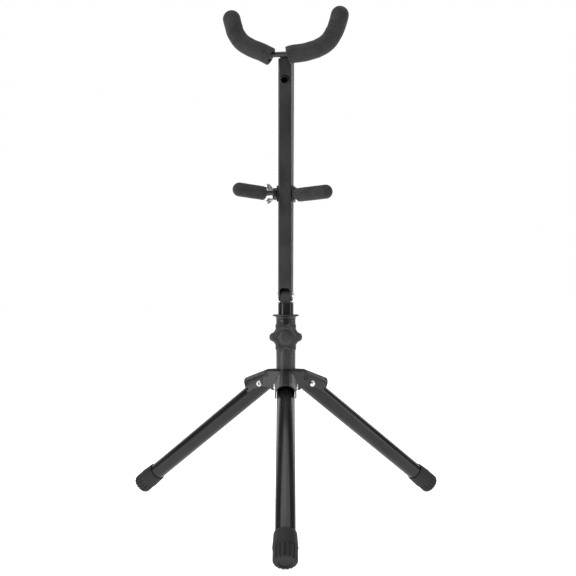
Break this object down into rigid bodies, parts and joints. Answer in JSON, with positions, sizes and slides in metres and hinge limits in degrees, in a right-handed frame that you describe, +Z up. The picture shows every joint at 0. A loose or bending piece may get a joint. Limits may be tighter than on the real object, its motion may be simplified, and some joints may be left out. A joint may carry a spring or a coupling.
{
  "type": "saxophone stand",
  "caption": "Black folding tripod stand for a saxophone, with a clamped telescoping column, a folding mast, a foam-covered U yoke and foam-covered lower arms held by a wing nut.",
  "frame": {"origin": "on the floor, under the middle of the stand's bounding box", "axes": "+Z up along the column, -Y to the front leg, +X to the stand's right as seen from its front"},
  "size_m": [0.3832, 0.335, 0.5779],
  "materials": {
    "powder_coat": "satin black powder coat",
    "gloss_coat": "gloss black baked coat",
    "zinc": "bright zinc plate",
    "foam": "matte closed-cell foam",
    "rubber": "moulded rubber",
    "plastic": "satin moulded plastic"
  },
  "bodies": {
    "tripod": {"hub_bracket": "powder_coat", "hub_stop_plate": "powder_coat", "centre_tube": "powder_coat", "collar_bushing": "plastic", "clamp_boss": "powder_coat", "leg_rivet_front": "zinc", "leg_rivet_right": "zinc", "leg_rivet_left": "zinc"},
    "leg_front_body": {"leg_front": "gloss_coat", "foot_front": "rubber"},
    "leg_right_body": {"leg_right": "gloss_coat", "foot_right": "rubber"},
    "leg_left_body": {"leg_left": "gloss_coat", "foot_left": "rubber"},
    "guide_body": {"tube_guide": "plastic"},
    "inner_tube_body": {"inner_tube": "gloss_coat", "hinge_head": "powder_coat"},
    "mast_body": {"mast": "powder_coat", "fold_pin": "zinc", "yoke_rod": "powder_coat", "yoke_plate": "powder_coat", "yoke_rivet": "powder_coat", "yoke_sleeve_left": "foam", "yoke_sleeve_right": "foam", "yoke_bush_left": "plastic", "yoke_bush_right": "plastic", "arm_bracket": "powder_coat", "arm_spacer": "zinc", "arm_bolt": "zinc"},
    "arm_left_body": {"arm_rod_left": "powder_coat", "arm_sleeve_left": "foam"},
    "arm_right_body": {"arm_rod_right": "powder_coat", "arm_sleeve_right": "foam"},
    "washer_body": {"arm_washer": "powder_coat"},
    "wing_nut_body": {"wing_nut": "zinc"},
    "clamp_pad_body": {"clamp_pad": "plastic"},
    "clamp_knob_body": {"clamp_knob": "plastic", "clamp_stud": "zinc"}
  },
  "joints": [
    {"name": "leg_fold_front", "type": "hinge", "parent": "tripod", "child": "leg_front_body", "pos_m": [0, 0.02275, 0.1475], "axis": [1, 0, 0], "range_deg": [0, 52.5]},
    {"name": "leg_fold_right", "type": "hinge", "parent": "tripod", "child": "leg_right_body", "pos_m": [0.02468, 0.0655, 0.1475], "axis": [-0.5, 0.866, 0], "range_deg": [0, 52.5]},
    {"name": "leg_fold_left", "type": "hinge", "parent": "tripod", "child": "leg_left_body", "pos_m": [-0.02468, 0.0655, 0.1475], "axis": [-0.5, -0.866, 0], "range_deg": [0, 52.5]},
    {"name": "height_slide", "type": "slide", "parent": "tripod", "child": "guide_body", "axis": [0, 0, 1], "range_m": [-0.007, 0.045]},
    {"name": "column_swivel", "type": "hinge", "parent": "guide_body", "child": "inner_tube_body", "pos_m": [0, 0.05125, 0.2], "axis": [0, 0, 1], "continuous": true},
    {"name": "mast_fold", "type": "hinge", "parent": "inner_tube_body", "child": "mast_body", "pos_m": [0, 0.05125, 0.25], "axis": [0.9848, -0.1736, 0], "range_deg": [0, 85]},
    {"name": "arm_tilt_left", "type": "hinge", "parent": "mast_body", "child": "arm_left_body", "pos_m": [0, 0.05125, 0.3665], "axis": [0.9848, -0.1736, 0], "range_deg": [-90, 90]},
    {"name": "arm_tilt_right", "type": "hinge", "parent": "mast_body", "child": "arm_right_body", "pos_m": [0, 0.05125, 0.3665], "axis": [0.9848, -0.1736, 0], "range_deg": [-90, 90]},
    {"name": "washer_travel", "type": "slide", "parent": "mast_body", "child": "washer_body", "axis": [-0.9848, 0.1736, 0], "range_m": [0, 0.00201]},
    {"name": "wing_nut_turn", "type": "hinge", "parent": "washer_body", "child": "wing_nut_body", "pos_m": [0, 0.05125, 0.3665], "axis": [-0.9848, 0.1736, 0], "range_deg": [0, 720]},
    {"name": "pad_travel", "type": "slide", "parent": "tripod", "child": "clamp_pad_body", "axis": [0, -1, 0], "range_m": [0, 0.00251]},
    {"name": "knob_turn", "type": "hinge", "parent": "clamp_pad_body", "child": "clamp_knob_body", "pos_m": [0, 0.03125, 0.203], "axis": [0, -1, 0], "range_deg": [0, 720]}
  ],
  "couplings": [
    {"joint": "washer_travel", "follows": "wing_nut_turn", "m_per_rad": 0.00015915},
    {"joint": "pad_travel", "follows": "knob_turn", "m_per_rad": 0.00019894}
  ]
}
